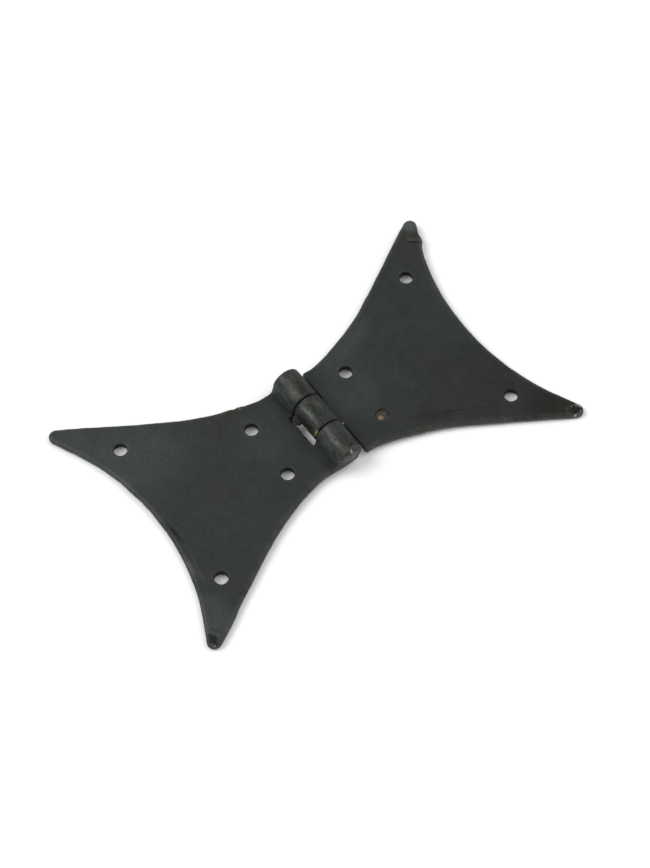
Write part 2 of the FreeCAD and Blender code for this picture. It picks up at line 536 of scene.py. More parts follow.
class Skin:
    """A fine closed mesh grown over a CAD node, with its points in millimetres."""

    WORN = "worn"
    DEEP = "deep"
    EDGE_CURVE = 0.022
    CREASE_CURVE = 0.016
    CURVE_PASSES = 3
    WALL_SPAN = (0.2, 0.7)
    WALL_WEAR_AND_LIGHT = 0.85
    RELAX_STEP = 0.5

    def __init__(self, node: bpy.types.Object, voxel: float) -> None:
        """Grow the mesh.

        Args:
            node: The CAD node that it covers.
            voxel: Size of its cells in millimetres.
        """
        self.mesh = self._grown(node, voxel)
        flat = np.empty(len(self.mesh.vertices) * 3, np.float32)
        self.mesh.vertices.foreach_get("co", flat)
        self.points = flat.reshape(-1, 3).astype(float) / MM
        pairs = np.empty(len(self.mesh.edges) * 2, np.int32)
        self.mesh.edges.foreach_get("vertices", pairs)
        self.first, self.second = pairs.reshape(-1, 2).T
        self.valence = np.bincount(pairs, minlength=len(self.points))

    @staticmethod
    def _grown(node: bpy.types.Object, voxel: float) -> bpy.types.Mesh:
        """Copy a node's mesh and divide it into even small cells.

        Args:
            node: The CAD node.
            voxel: Size of a cell in millimetres.

        Returns:
            The fine mesh.
        """
        copy = node.data.copy()
        rough = placed(node.name + "_rough", copy)
        remesh = rough.modifiers.new("fine", "REMESH")
        remesh.mode = "VOXEL"
        remesh.voxel_size = voxel * MM
        evaluated = rough.evaluated_get(bpy.context.evaluated_depsgraph_get())
        mesh = bpy.data.meshes.new_from_object(evaluated)
        bpy.data.objects.remove(rough)
        bpy.data.meshes.remove(copy)
        mesh.materials.clear()
        return mesh

    def normals(self) -> Array:
        """Write the points to the mesh and read its normals.

        Returns:
            One unit vector for each point.
        """
        self.mesh.vertices.foreach_set("co", (self.points * MM).astype(np.float32).ravel())
        self.mesh.update()
        flat = np.empty(len(self.points) * 3, np.float32)
        self.mesh.vertex_normals.foreach_get("vector", flat)
        return flat.reshape(-1, 3).astype(float)

    def neighbour_mean(self, values: Array) -> Array:
        """Mean of each point's neighbours.

        Args:
            values: One number for each point.

        Returns:
            The means, one for each point.
        """
        count = len(self.points)
        total = np.bincount(self.first, values[self.second], count)
        total += np.bincount(self.second, values[self.first], count)
        return total / self.valence

    def relax(self, times: int, share: Array | float = 1.0) -> None:
        """Draw each point towards its neighbours a few times, by its share, which rounds edges."""
        for _ in range(times):
            self.points += self.RELAX_STEP * np.reshape(share, (-1, 1)) * (self._means() - self.points)

    def _means(self) -> Array:
        """Mean place of each point's neighbours."""
        return np.column_stack([self.neighbour_mean(column) for column in self.points.T])

    def away(self, place: Spot) -> Array:
        """How far each point lies from a place, along X and Y."""
        return np.hypot(*(self.points[:, :2] - np.array(place)).T)

    def keep_inside(self, box: tuple[Vector, Vector]) -> None:
        """Bring back what stands out of a box, by its corners in metres."""
        low, high = (np.array(corner) / MM for corner in box)
        self.points = np.clip(self.points, low, high)

    def cut(self, normal: Sequence[float], depth: float, where: Array) -> None:
        """Flatten what stands furthest out in a direction, as a hammer blow does.

        Args:
            normal: The direction, of any length.
            depth: How far below the furthest point the flat lies, in millimetres.
            where: How much of the move each point makes.
        """
        direction = np.array(normal, float) / np.linalg.norm(normal)
        height = self.points @ direction
        over = np.clip(height - (height[where > 0.0].max() - depth), 0.0, None) * where
        self.points -= over[:, None] * direction

    def mark_wear(self, rubbed: Array | float, least_shade: Array | float) -> None:
        """Store how far each point stands on an edge, or lies in a crease, for the finish, which paints shade
        into the creases.

        Args:
            rubbed: How much of the wear each point shows.
            least_shade: How much painted shade each point has at least.
        """
        normals = self.normals()
        wall = 1.0 - ease(np.abs(normals[:, 2]), *self.WALL_SPAN)
        curve = ((self.points - self._means()) * normals).sum(axis=1)
        for _ in range(self.CURVE_PASSES):
            curve = 0.5 * curve + 0.5 * self.neighbour_mean(curve)
        # Edge walls take the worn tone too: partly bare sheared steel, partly painted light from the floor.
        worn = np.maximum(curve / self.EDGE_CURVE, self.WALL_WEAR_AND_LIGHT * wall)
        self._store(self.WORN, np.clip(worn, 0.0, 1.0) * rubbed)
        # Painted shade: creases by how hollow they are, and at least the given share elsewhere.
        self._store(self.DEEP, np.maximum(np.clip(-curve / self.CREASE_CURVE, 0.0, 1.0), least_shade))

    def _store(self, name: str, values: Array) -> None:
        """Keep one number for each point on the mesh."""
        attribute = self.mesh.attributes.new(name, "FLOAT", "POINT")
        attribute.data.foreach_set("value", values.astype(np.float32))

    def piece(self, name: str) -> bpy.types.Object:
        """Make the object of the finished mesh.

        Args:
            name: The object's name.

        Returns:
            The object, in the scene.
        """
        self.mesh.shade_smooth()
        self.mesh.name = name
        return placed(name, self.mesh)


@dataclass
class LeafField:
    """The points of a leaf, and how each lies to the leaf's faces and outer edge."""

    points: Array
    height: Array
    gap: Array
    nearest: Array
    outward: Array

    BAND_CORE = 0.7

    def stretch(self, start: Spot, end: Spot, band: float, fade: float) -> Array:
        """Weigh the points whose nearest edge lies along a stretch.

        Args:
            start: Where the stretch starts.
            end: Where it ends.
            band: How far from the line between them the edge may lie.
            fade: Share of the stretch over which it fades at each end.

        Returns:
            A weight from 0 to 1 for each point.
        """
        run = np.subtract(end, start)
        length = np.linalg.norm(run)
        offset = self.nearest - np.array(start)
        share = offset @ run / length**2
        away = np.abs(offset @ np.array((-run[1], run[0]))) / length
        ends = ease(share, 0.0, fade) * (1.0 - ease(share, 1.0 - fade, 1.0))
        return ends * (1.0 - ease(away, self.BAND_CORE * band, band))

    def around(self, place: Spot, reach: Spot) -> Array:
        """How far each point lies from a place, in shares of a reach along X and Y."""
        return np.hypot(*((self.points[:, :2] - np.array(place)) / np.array(reach)).T)

    def moves(self, out: Array | float, up: Array | float) -> Array:
        """Join moves out of the nearest edge and moves up, in millimetres, into one for each point."""
        flat = np.reshape(out, (-1, 1)) * self.outward
        return np.column_stack((flat, np.broadcast_to(up, len(flat))))


@dataclass(frozen=True)
class EdgeBand:
    """A hammered bevel along a stretch of a leaf's front edge, with a crease along its inner side."""

    start: Spot
    end: Spot
    width: float
    depth: float
    crease: float
    seed: int
    bow: float = 9.0

    FADE = 0.22
    DENT_CELL = 2.4
    DENT_SHARE = 0.25
    WANDER_CELL = 6.0
    WANDER_SHARE = 0.2
    CREASE_WIDTH = 0.55

    def shape(self, at: LeafField) -> Array:
        """Work out the moves that make the band.

        Args:
            at: The leaf's points.

        Returns:
            One move for each point, in millimetres.
        """
        weight = at.stretch(self.start, self.end, self.bow, self.FADE) * at.height
        uneven = 1.0 + self.DENT_SHARE * lumpy(at.points, self.DENT_CELL, self.seed)
        width = self.width * (1.0 + self.WANDER_SHARE * lumpy(at.points, self.WANDER_CELL, self.seed + 1))
        slope = 1.0 - np.clip(at.gap / width, 0.0, 1.0)
        drop = self.depth * uneven * slope + self.crease * bell(at.gap - width, self.CREASE_WIDTH)
        return at.moves(0.0, -weight * drop)


@dataclass(frozen=True)
class Burr:
    """A ragged stretch of edge, left by the shears."""

    start: Spot
    end: Spot
    size: float
    pitch: float
    seed: int

    BOW = 3.0
    FADE = 0.15
    REACH = (0.1, 1.3)
    STAND = 0.35
    CURL = 0.6

    def shape(self, at: LeafField) -> Array:
        """Work out the moves that make the burr.

        Args:
            at: The leaf's points.

        Returns:
            One move for each point, in millimetres.
        """
        stretch = at.stretch(self.start, self.end, self.BOW, self.FADE)
        size = self.size * stretch * (1.0 - ease(at.gap, *self.REACH))
        teeth, curls = (lumpy(at.points, self.pitch, self.seed + number) for number in (0, 1))
        return at.moves(size * (teeth + self.STAND), size * self.CURL * at.height * curls)


@dataclass(frozen=True)
class Lump:
    """A knob of metal that stands out of an edge."""

    place: Spot
    reach: float
    push: float
    rise: float

    SPREAD = 0.8

    def shape(self, at: LeafField) -> Array:
        """Work out the moves that make the knob, one for each point."""
        weight = bell(at.around(self.place, (self.reach, self.reach)), self.SPREAD)
        return at.moves(weight * self.push, weight * self.rise * at.height)


@dataclass(frozen=True)
class Pit:
    """A pitted hollow on a leaf's front."""

    place: Spot
    reach: Spot
    depth: float
    rough: float
    seed: int

    HOLLOW_WIDTH = 0.75
    RIM_PLACE = 1.15
    RIM_WIDTH = 0.3
    RIM_SHARE = 0.3
    CRUMB_REACH = 1.5
    CRUMB_CELL = 0.9

    def shape(self, at: LeafField) -> Array:
        """Work out the moves that make the hollow.

        Args:
            at: The leaf's points.

        Returns:
            One move for each point, in millimetres.
        """
        away = at.around(self.place, self.reach)
        rim = self.RIM_SHARE * self.depth * bell(away - self.RIM_PLACE, self.RIM_WIDTH)
        hollow = self.depth * bell(away, self.HOLLOW_WIDTH) - rim
        crumbs = self.rough * bell(away, self.CRUMB_REACH) * lumpy(at.points, self.CRUMB_CELL, self.seed)
        return at.moves(0.0, at.height * (crumbs - hollow))


@dataclass(frozen=True)
class Lap:
    """A fold of metal hammered part of the way across a tip: a lip that fades towards the point."""

    start: Spot
    end: Spot
    rise: float
    fade: float

    WANDER = ((1.8, 41, 0.2),)
    STARTS = (-0.15, 0.35)
    ENDS = (1.5, 2.0)
    LIP = (-0.15, 0.3)
    GROOVE_PLACE = 0.4
    GROOVE_WIDTH = 0.35
    GROOVE_SHARE = 0.7

    def shape(self, at: LeafField) -> Array:
        """Work out the moves that make the fold.

        Args:
            at: The leaf's points.

        Returns:
            One move for each point, in millimetres.
        """
        run = np.subtract(self.end, self.start)
        length = np.linalg.norm(run)
        offset = at.points[:, :2] - np.array(self.start)
        share = offset @ run / length**2
        ahead = offset @ np.array((-run[1], run[0])) / length + layered(at.points, self.WANDER)
        along = ease(share, *self.STARTS) * (1.0 - ease(share, *self.ENDS))
        lip = ease(ahead, *self.LIP) * np.exp(-np.clip(ahead, 0.0, None) / self.fade)
        groove = self.GROOVE_SHARE * bell(ahead + self.GROOVE_PLACE, self.GROOVE_WIDTH)
        return at.moves(0.0, at.height * along * self.rise * (lip - groove))


@dataclass(frozen=True)
class Flat:
    """A flat that a hammer left along a knuckle, by its angle from upright, towards +X."""

    angle: float
    tilt: float
    depth: float


@dataclass(frozen=True)
class Gouge:
    """A scratch in a knuckle, from one angle and place along the pin to another."""

    start: Spot
    end: Spot
    width: float
    depth: float


@dataclass(frozen=True)
class Knuckle:
    """A rolled knuckle, from low to high along Y."""

    low: float
    high: float
    taper: float
    flats: tuple[Flat, ...] = ()
    gouges: tuple[Gouge, ...] = ()
    seed: int = 0
    spread: float = 0.06


@dataclass(frozen=True)
class Holes:
    """A leaf's screw holes: their places and their radius."""

    places: tuple[Spot, ...]
    radius: float


@dataclass
class Leaf:
    """A butterfly leaf of forged sheet with its rolled knuckles."""

    node: str
    body: str
    hand: Hand
    axis_height: float
    holes: Holes
    knuckles: tuple[Knuckle, ...]
    work: tuple[EdgeBand | Burr | Lump | Pit | Lap, ...]
    finish: WaxedSteel
    slot: str = "leaf_steel"
    thickness: float = SHEET
    voxel: float = 0.285
    roll_play: float = 0.3
    lip_fade: Spot = (2.4, 3.8)
    neck_reach: Spot = (7.0, 11.0)
    neck_side: Spot = (13.5, 15.0)
    edge_wear: float = 0.2
    edge_wander: float = 0.11
    hammer: float = 0.05
    hole_swell: float = 0.04
    skin: Skin = field(init=False, repr=False)

    # Each layer of lumps has a cell, a seed and a share.
    DENTS = ((9.0, 3, 1.0), (3.0, 4, 0.4))
    WEAR = ((4.0, 5, 0.45),)
    WANDER = ((6.0, 6, 1.0), (1.7, 7, 0.5))
    WANDER_LEVEL = 0.3
    # Distances from the edge over which wear and wander fade.
    WEAR_REACH = (0.0, 1.0)
    WANDER_REACH = (0.3, 2.2)
    # How far relaxing is held back round holes and gaps, and how much.
    HOLE_HOLD = (0.7, 0.9)
    GAP_HOLD = (0.6, 0.6)
    SWELL_PLACE = 0.6
    SWELL_WIDTH = 0.5
    ROLL_CELL = 3.1
    ROLL_DENTS = 0.07
    HOLE_PLAY = 0.45
    HOLE_EDGE = 0.9
    HOLE_SHADE = 0.3
    HOLE_SHADE_TOP = 0.25
    HOLE_WEAR = 0.8
    NECK_EDGE = 1.5
    END_REACH = 1.2
    LIP_PLAY = 1.0
    # Parts of a normal that tell an edge wall, a knuckle's end and the round of a roll.
    WALL_SLOPE = 0.45
    END_SLOPE = 0.6
    ROUND_SLOPE = 0.92

    def build(self, frame: Mapping[str, Any]) -> bpy.types.Object:
        """Grow the leaf over its CAD node and work it.

        Args:
            frame: The loaded frame.

        Returns:
            The dressed leaf, riding on its body.
        """
        self.skin = Skin(frame["nodes"][self.node], self.voxel)
        self._true_barrel()
        self._true_holes()
        hole_reach, hole_hold = self.HOLE_HOLD
        gap_reach, gap_hold = self.GAP_HOLD
        soft = 1.0 - hole_hold * self._near_holes(hole_reach) - gap_hold * self._near_gaps(gap_reach)
        self.skin.relax(3, soft)
        for knuckle in self.knuckles:
            self._work_knuckle(knuckle)
        self._work_plate()
        self.skin.relax(1, soft)
        self.skin.keep_inside(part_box(self.node))
        self._mark_wear()
        leaf = self.skin.piece(self.node + "_forged")
        leaf.data.materials.append(self.finish.material())
        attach(leaf, self.body)
        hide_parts(self.node)
        return leaf

    def _mark_wear(self) -> None:
        """Mark the worn edges, away from the neck and the holes, and the painted shade on the walls of the
        holes.
        """
        across, along, height = np.abs(self.skin.points).T
        outer = np.maximum(ease(across, *self.neck_reach), ease(along, *self.neck_side))
        # Painted shade on the walls of the screw holes, below the top rim.
        in_hole = self._near_holes(self.HOLE_SHADE) * (height < self.thickness - self.HOLE_SHADE_TOP)
        self.skin.mark_wear(outer * (1.0 - self._near_holes(self.HOLE_WEAR)), in_hole)

    def _near_holes(self, reach: float) -> Array:
        """Weigh the points from 0 to 1 by how near a screw hole's wall they lie."""
        nearest = np.min([self._beyond(hole) for hole in self.holes.places], axis=0)
        return bell(np.clip(nearest, 0.0, None), reach)

    def _beyond(self, hole: Spot) -> Array:
        """How far each point lies beyond a screw hole's wall."""
        return self.skin.away(hole) - self.holes.radius

    def _near_gaps(self, reach: float) -> Array:
        """Weigh the points by how near a knuckle's end they lie.

        Args:
            reach: How far the weight goes, in millimetres.

        Returns:
            A weight from 0 to 1 for each point.
        """
        across, along = self.skin.points[:, :2].T
        ends = [end for knuckle in self.knuckles for end in (knuckle.low, knuckle.high)]
        away = np.min([np.abs(along - end) for end in ends], axis=0)
        return bell(away, reach) * (np.abs(across) < self.axis_height + 2.0 * self.roll_play)

    def _true_holes(self) -> None:
        """Set the walls of the screw holes to their true radius."""
        points = self.skin.points
        depth = np.minimum(points[:, 2], self.thickness - points[:, 2])
        for hole in self.holes.places:
            spokes = points[:, :2] - np.array(hole)
            radius = np.hypot(*spokes.T)
            over = radius - self.holes.radius
            wall = (over < self.HOLE_PLAY) & (depth > over)
            points[wall, :2] -= spokes[wall] * (over[wall] / radius[wall])[:, None]
            rim = (over < self.HOLE_PLAY) & ~wall
            points[rim, 2] = np.where(points[rim, 2] > 0.5 * self.thickness, self.thickness, 0.0)

    def _barrel(self) -> tuple[Array, Array]:
        """Measure the points about the hinge axis.

        Returns:
            Each point's radius, and its outward direction in X and Z.
        """
        spokes = self.skin.points[:, (0, 2)] - np.array((0.0, self.axis_height))
        radius = np.hypot(*spokes.T)
        return radius, spokes / np.maximum(radius, 1e-6)[:, None]

    def _lip(self) -> Array:
        """Pick the points at the rolls' straight lips, above the leaf's own front."""
        across, _, height = self.skin.points.T
        return (across * self.hand.value > 0.0) & (height < self.axis_height)

    def _rolled(self, radius: Array) -> Array:
        """Weigh the points on the outside of the rolls.

        Args:
            radius: Each point's distance from the hinge axis.

        Returns:
            A weight for each point: 1 on the round, fading down the lip to the seam.
        """
        height = self.skin.points[:, 2]
        lip = self._lip()
        outside = np.abs(radius - self.axis_height) < np.where(lip, self.LIP_PLAY, 2.0 * self.roll_play)
        return outside * np.where(lip, ease(height, *self.lip_fade), height > self.roll_play)

    def _true_barrel(self) -> None:
        """Set the outside of the rolls to the barrel's true radius."""
        radius, spokes = self._barrel()
        facing = (self.skin.normals()[:, (0, 2)] * spokes).sum(axis=1) > self.ROUND_SLOPE
        true = (self._rolled(radius) > 0.0) & ~self._lip() & facing
        excess = np.where(true, radius - self.axis_height, 0.0)
        self.skin.points[:, (0, 2)] -= excess[:, None] * spokes

    def _work_knuckle(self, knuckle: Knuckle) -> None:
        """Taper, flatten and scratch a knuckle.

        Args:
            knuckle: The knuckle.
        """
        skin = self.skin
        radius, spokes = self._barrel()
        along = skin.points[:, 1]
        inside = (along > knuckle.low - self.roll_play) & (along < knuckle.high + self.roll_play)
        rolled = self._rolled(radius) * inside
        share = (along - knuckle.low) / (knuckle.high - knuckle.low)
        taper = max(knuckle.taper, 0.0) * share + max(-knuckle.taper, 0.0) * (1.0 - share)
        uneven = self.ROLL_DENTS * (1.0 + lumpy(skin.points, self.ROLL_CELL, knuckle.seed))
        sunk = taper.clip(0.0) + uneven
        angle = np.degrees(np.arctan2(spokes[:, 0], spokes[:, 1]))
        for gouge in knuckle.gouges:
            sunk += self._gouge_depth(gouge, angle, along)
        skin.points[:, (0, 2)] -= (rolled * sunk)[:, None] * spokes
        for flat in knuckle.flats:
            lean = math.radians(flat.angle)
            skin.cut((math.sin(lean), flat.tilt, math.cos(lean)), flat.depth, rolled)
        skin.relax(1, rolled)
        facing = skin.normals()[:, 1]
        for end, way in ((knuckle.low, -1.0), (knuckle.high, 1.0)):
            closer = (facing * way > self.END_SLOPE) & (np.abs(along - end) < self.roll_play)
            skin.points[closer & (radius < self.END_REACH * self.axis_height), 1] += way * knuckle.spread

    def _gouge_depth(self, gouge: Gouge, angle: Array, along: Array) -> Array:
        """Work out how deep a scratch is.

        Args:
            gouge: The scratch.
            angle: Each point's angle from upright, in degrees.
            along: Each point's place along the pin.

        Returns:
            The depth at each point, in millimetres.
        """
        arc = self.axis_height * math.pi / 180.0
        start, end = (np.array((turn * arc, place)) for turn, place in (gouge.start, gouge.end))
        run = end - start
        offset = np.column_stack((angle * arc, along)) - start
        share = np.clip(offset @ run / (run @ run), 0.0, 1.0)
        away = np.hypot(*(offset - share[:, None] * run).T)
        return gouge.depth * bell(away, gouge.width)

    def _field(self) -> LeafField:
        """Measure how each point lies to the leaf's faces and outer edge.

        Returns:
            The field that the edge work reads.
        """
        points = self.skin.points
        normals = self.skin.normals()
        wall = np.abs(normals[:, 2]) < self.WALL_SLOPE
        for hole in self.holes.places:
            wall &= self._beyond(hole) > self.HOLE_EDGE
        wall &= points[:, 0] * self.hand.value > self.axis_height + self.NECK_EDGE
        rim = np.flatnonzero(wall)
        tree = KDTree(len(rim))
        for number, (x, y) in enumerate(points[rim, :2].tolist()):
            tree.insert((x, y, 0.0), number)
        tree.balance()
        found = [tree.find((x, y, 0.0)) for x, y in points[:, :2].tolist()]
        owner = rim[[item[1] for item in found]]
        outward = normals[owner, :2]
        outward /= np.linalg.norm(outward, axis=1)[:, None]
        gap = np.array([item[2] for item in found])
        height = np.clip(points[:, 2] / self.thickness, 0.0, 1.0)
        return LeafField(points.copy(), height, gap, points[owner, :2], outward)

    def _work_plate(self) -> None:
        """Hammer the sheet, wear its edges and add the edge work."""
        at = self._field()
        dents = self.hammer * (layered(at.points, self.DENTS) - 1.0)
        wear = self.edge_wear * (1.0 + layered(at.points, self.WEAR))
        wear *= 1.0 - ease(at.gap, *self.WEAR_REACH)
        wander = self.edge_wander * (layered(at.points, self.WANDER) - self.WANDER_LEVEL)
        wander *= 1.0 - ease(at.gap, *self.WANDER_REACH)
        moves = at.moves(wander, at.height * (dents - wear))
        for job in self.work:
            moves += job.shape(at)
        for hole in self.holes.places:
            swell = bell(self._beyond(hole) - self.SWELL_PLACE, self.SWELL_WIDTH)
            moves[:, 2] += self.hole_swell * at.height * swell
        plate = ease(at.points[:, 0] * self.hand.value, *self.neck_reach)
        self.skin.points += plate[:, None] * moves


@dataclass
class HingePin:
    """The pin, with both ends hammered over into facets, each by its turn, its tilt and its depth."""

    node: str
    body: str
    finish: WaxedSteel
    slot: str = "pin_steel"
    voxel: float = 0.17
    shank: float = 14.0
    twist: float = 25.0
    dent_depth: float = 0.13
    dent_cell: float = 1.5
    facets: tuple[Point, ...] = (
        (20.0, 34.0, 0.42),
        (75.0, 27.0, 0.3),
        (128.0, 38.0, 0.5),
        (187.0, 30.0, 0.36),
        (244.0, 36.0, 0.44),
        (303.0, 28.0, 0.34),
        (350.0, 8.0, 0.16),
    )

    SEED = 11

    def build(self, frame: Mapping[str, Any]) -> bpy.types.Object:
        """Grow the pin over its CAD node and peen its heads.

        Args:
            frame: The loaded frame.

        Returns:
            The dressed pin, riding on its body.
        """
        skin = Skin(frame["nodes"][self.node], self.voxel)
        skin.relax(2)
        for end in (-1, 1):
            self._peen(skin, end)
        skin.relax(2)
        skin.keep_inside(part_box(self.node))
        skin.mark_wear(1.0, 0.0)
        pin = skin.piece(self.node + "_peened")
        pin.data.materials.append(self.finish.material())
        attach(pin, self.body)
        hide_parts(self.node)
        return pin

    def _peen(self, skin: Skin, end: int) -> None:
        """Hammer one head into facets.

        Args:
            skin: The pin's mesh.
            end: Which end, along Y.
        """
        head = skin.points[:, 1] * end > self.shank
        for turn, tilt, depth in self.facets:
            spin = math.radians(turn + self.twist * end)
            lean = math.radians(tilt)
            blow = (math.sin(lean) * math.cos(spin), end * math.cos(lean), math.sin(lean) * math.sin(spin))
            skin.cut(blow, depth, head)
        dents = self.dent_depth * (lumpy(skin.points, self.dent_cell, self.SEED + end) - 1.0)
        skin.points[:, 1] += end * dents * head


@dataclass
class Cake:
    """Wax and rust caked on a leaf, as a bumpy patch with one lump."""

    name: str
    body: str
    place: Spot
    reach: Spot
    level: float
    lump: Spot
    lump_reach: float
    finish: CakedWax
    slot: str = "leaf_steel"
    floor: float = 0.05
    lump_rise: float = 0.2
    crust_share: float = 1.5
    rings: int = 14
    spokes: int = 56

    CRUMBS = ((0.8, 31, 0.16),)

    def build(self) -> bpy.types.Object:
        """Model the cake as a bumpy closed patch.

        Returns:
            The dressed cake, riding on its body.
        """
        shares = np.linspace(0.0, 1.0, self.rings + 1)[1:]
        turns = np.linspace(0.0, 2.0 * math.pi, self.spokes, endpoint=False)
        rim = np.stack((np.cos(turns), np.sin(turns), np.zeros_like(turns)), axis=1)
        grid = (shares[:, None, None] * rim).reshape(-1, 3)
        top, bottom = self._layers(np.vstack(((0.0, 0.0, 0.0), grid)))
        mesh = bpy.data.meshes.new(self.name)
        mesh.from_pydata((np.vstack((top, bottom)) * MM).tolist(), [], self._faces(len(top)))
        mesh.shade_smooth()
        cake = placed(self.name, mesh)
        lump = (*self.lump, self.level + self.lump_rise)
        mesh.materials.append(self.finish.material(lump, (self.crust_share * self.lump_reach,) * 3))
        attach(cake, self.body)
        return cake

    def _layers(self, disc: Array) -> tuple[Array, Array]:
        """Lay the top and the bottom.

        Args:
            disc: Points of a flat disc of radius 1.

        Returns:
            The points of the top and of the bottom, in millimetres.
        """
        top = disc * (*self.reach, 1.0)
        top[:, :2] += np.array(self.place)
        near = np.hypot(*(top[:, :2] - np.array(self.lump)).T)
        lump = self.lump_rise * bell(near, self.lump_reach)
        top[:, 2] = self.level + layered(top, self.CRUMBS) + lump
        bottom = top.copy()
        bottom[:, 2] = self.floor
        return top, bottom

    def _faces(self, count: int) -> list[tuple[int, ...]]:
        """List the faces of the top, the bottom and the side.

        Args:
            count: How many points the top has, and the bottom.

        Returns:
            The corners of each face.
        """
        faces: list[tuple[int, ...]] = []
        for spoke in range(self.spokes):
            after = (spoke + 1) % self.spokes
            faces.append((0, 1 + spoke, 1 + after))
            faces.append((count, count + 1 + after, count + 1 + spoke))
            for ring in range(self.rings - 1):
                inner = 1 + ring * self.spokes
                outer = inner + self.spokes
                face = (inner + spoke, outer + spoke, outer + after, inner + after)
                faces.append(face)
                faces.append(tuple(count + corner for corner in reversed(face)))
            rim = 1 + (self.rings - 1) * self.spokes
            faces.append((rim + spoke, count + rim + spoke, count + rim + after, rim + after))
        return faces


@dataclass
class DomedDrop(Cake):
    """A domed drop that sticks to the barrel, laid out on its top and turned about the pin."""

    axis_height: float = 0.0
    angle: float = 0.0
    rim: float = 0.12

    STEEPNESS = 3

    def _layers(self, disc: Array) -> tuple[Array, Array]:
        """Lay the domed top and the bottom.

        Args:
            disc: Points of a flat disc of radius 1.

        Returns:
            The points of the top and of the bottom, in millimetres.
        """
        top, bottom = super()._layers(disc)
        dome = np.sqrt(np.clip(1.0 - (disc**2).sum(axis=1) ** self.STEEPNESS, 0.0, 1.0))
        top[:, 2] += (self.rim + (1.0 - self.rim) * dome - 1.0) * (top[:, 2] - bottom[:, 2])
        return self._turned(top), self._turned(bottom)

    def _turned(self, points: Array) -> Array:
        """Turn points about the pin, by the angle from upright, towards +X.

        Args:
            points: The points, in millimetres.

        Returns:
            The turned points.
        """
        lean = math.radians(self.angle)
        x, y, z = (points - (0.0, 0.0, self.axis_height)).T
        turned = (x * math.cos(lean) + z * math.sin(lean), y, z * math.cos(lean) - x * math.sin(lean))
        return np.column_stack(turned) + (0.0, 0.0, self.axis_height)


@dataclass(frozen=True)
class Softbox:
    """A round soft lamp, by the direction that its light comes from, in watts and metres."""

    name: str
    direction: Point
    power: float
    size: float = 1.6
    distance: float = 2.4

    def build(self) -> None:
        """Hang the lamp, turned to the hinge."""
        lamp = bpy.data.lights.new(self.name, "AREA")
        lamp.shape = "DISK"
        lamp.size = self.size
        lamp.energy = self.power
        hung = placed(self.name, lamp)
        direction = Vector(self.direction).normalized()
        hung.location = direction * self.distance
        hung.rotation_euler = direction.to_track_quat("Z", "Y").to_euler()


@dataclass
class Studio:
    """A pale card for a floor, two soft lamps and a sky that is brightest at the horizon.

    The card, whose size is in metres, bends a little under the hinge, which rests on its tips: each leaf has
    its gaps at -Y and +Y, in millimetres.
    """

    floor_size: float = 8.0
    floor_gaps: tuple[Spot, Spot] = ((0.25, 0.25), (0.15, 1.1))
    floor_sag: float = 0.6
    floor_cells: int = 16
    hinge_reach: Spot = (64.0, 41.25)
    floor_white: float = 0.92
    floor_shown: float = 1.11
    lamps: tuple[Softbox, ...] = (
        Softbox("left_softbox", (-0.54, 0.45, 0.85), 25.5),
        Softbox("right_softbox", (0.55, -0.2, 0.85), 9.5),
    )
    sky_zenith: float = 0.5
    sky_horizon: float = 1.5
    horizon_rise: float = 0.55

    def build(self) -> None:
        """Set up the floor, the lamps and the world."""
        self._floor()
        for lamp in self.lamps:
            lamp.build()
        self._world()
        bpy.context.scene.view_settings.view_transform = "Standard"

    def _floor(self) -> None:
        """Lay the floor: matt white that keeps shadows, a little whiter where the camera sees it."""
        half = self.floor_size / 2.0
        under = [np.linspace(-reach * MM, reach * MM, self.floor_cells + 1) for reach in self.hinge_reach]
        x, y = np.meshgrid(*(np.concatenate(((-half,), line, (half,))) for line in under), indexing="ij")
        points = np.stack((x, y, -self._gap(x, y) * MM), axis=-1).reshape(-1, 3)
        rows, columns = x.shape
        starts = [row * columns + column for row in range(rows - 1) for column in range(columns - 1)]
        faces = [(start, start + columns, start + columns + 1, start + 1) for start in starts]
        mesh = bpy.data.meshes.new("studio_floor")
        mesh.from_pydata(points.tolist(), [], faces)
        mesh.shade_smooth()
        material, graph = new_material("pale_floor")
        matt, shown = (
            graph.node("ShaderNodeBsdfDiffuse", sockets={"Color": (white, white, white, 1.0)})
            for white in (self.floor_white, self.floor_shown)
        )
        seen = graph.node("ShaderNodeLightPath", output="Is Camera Ray")
        graph.close(graph.node("ShaderNodeMixShader", sockets={0: seen, 1: matt, 2: shown}))
        mesh.materials.append(material)
        floor = placed("studio_floor", mesh)

    def _gap(self, x: Array, y: Array) -> Array:
        """Measure the space under the hinge, from its gaps at the four tips and the sag between.

        Args:
            x: Places along X, in metres.
            y: Places along Y, in metres.

        Returns:
            The space at each place, in millimetres.
        """
        spans = zip((x, y), self.hinge_reach)
        across, along = (np.clip(place / (reach * MM), -1.0, 1.0) for place, reach in spans)
        left, right = (near + (far - near) * (along + 1.0) / 2.0 for near, far in self.floor_gaps)
        return left + (right - left) * (across + 1.0) / 2.0 + self.floor_sag * (1.0 - across**2)

    def _world(self) -> None:
        """Surround the scene with light that fades upwards, white where the camera sees it."""
        world = bpy.data.worlds.new("studio_sky")
        world.use_nodes = True
        bpy.context.scene.world = world
        graph = Graph(world.node_tree)
        horizon, zenith, shown = (
            graph.node("ShaderNodeBackground", sockets={"Color": WHITE, "Strength": strength})
            for strength in (self.sky_horizon, self.sky_zenith, 1.0)
        )
        direction = graph.node("ShaderNodeTexCoord", output="Generated")
        upward = graph.node("ShaderNodeSeparateXYZ", sockets={0: direction}, output="Z")
        share = graph.step(upward, 0.0, self.horizon_rise)
        light = graph.node("ShaderNodeMixShader", sockets={0: share, 1: horizon, 2: zenith})
        seen = graph.node("ShaderNodeLightPath", output="Is Camera Ray")
        both = graph.node("ShaderNodeMixShader", sockets={0: seen, 1: light, 2: shown})
        graph.close(both, "ShaderNodeOutputWorld")


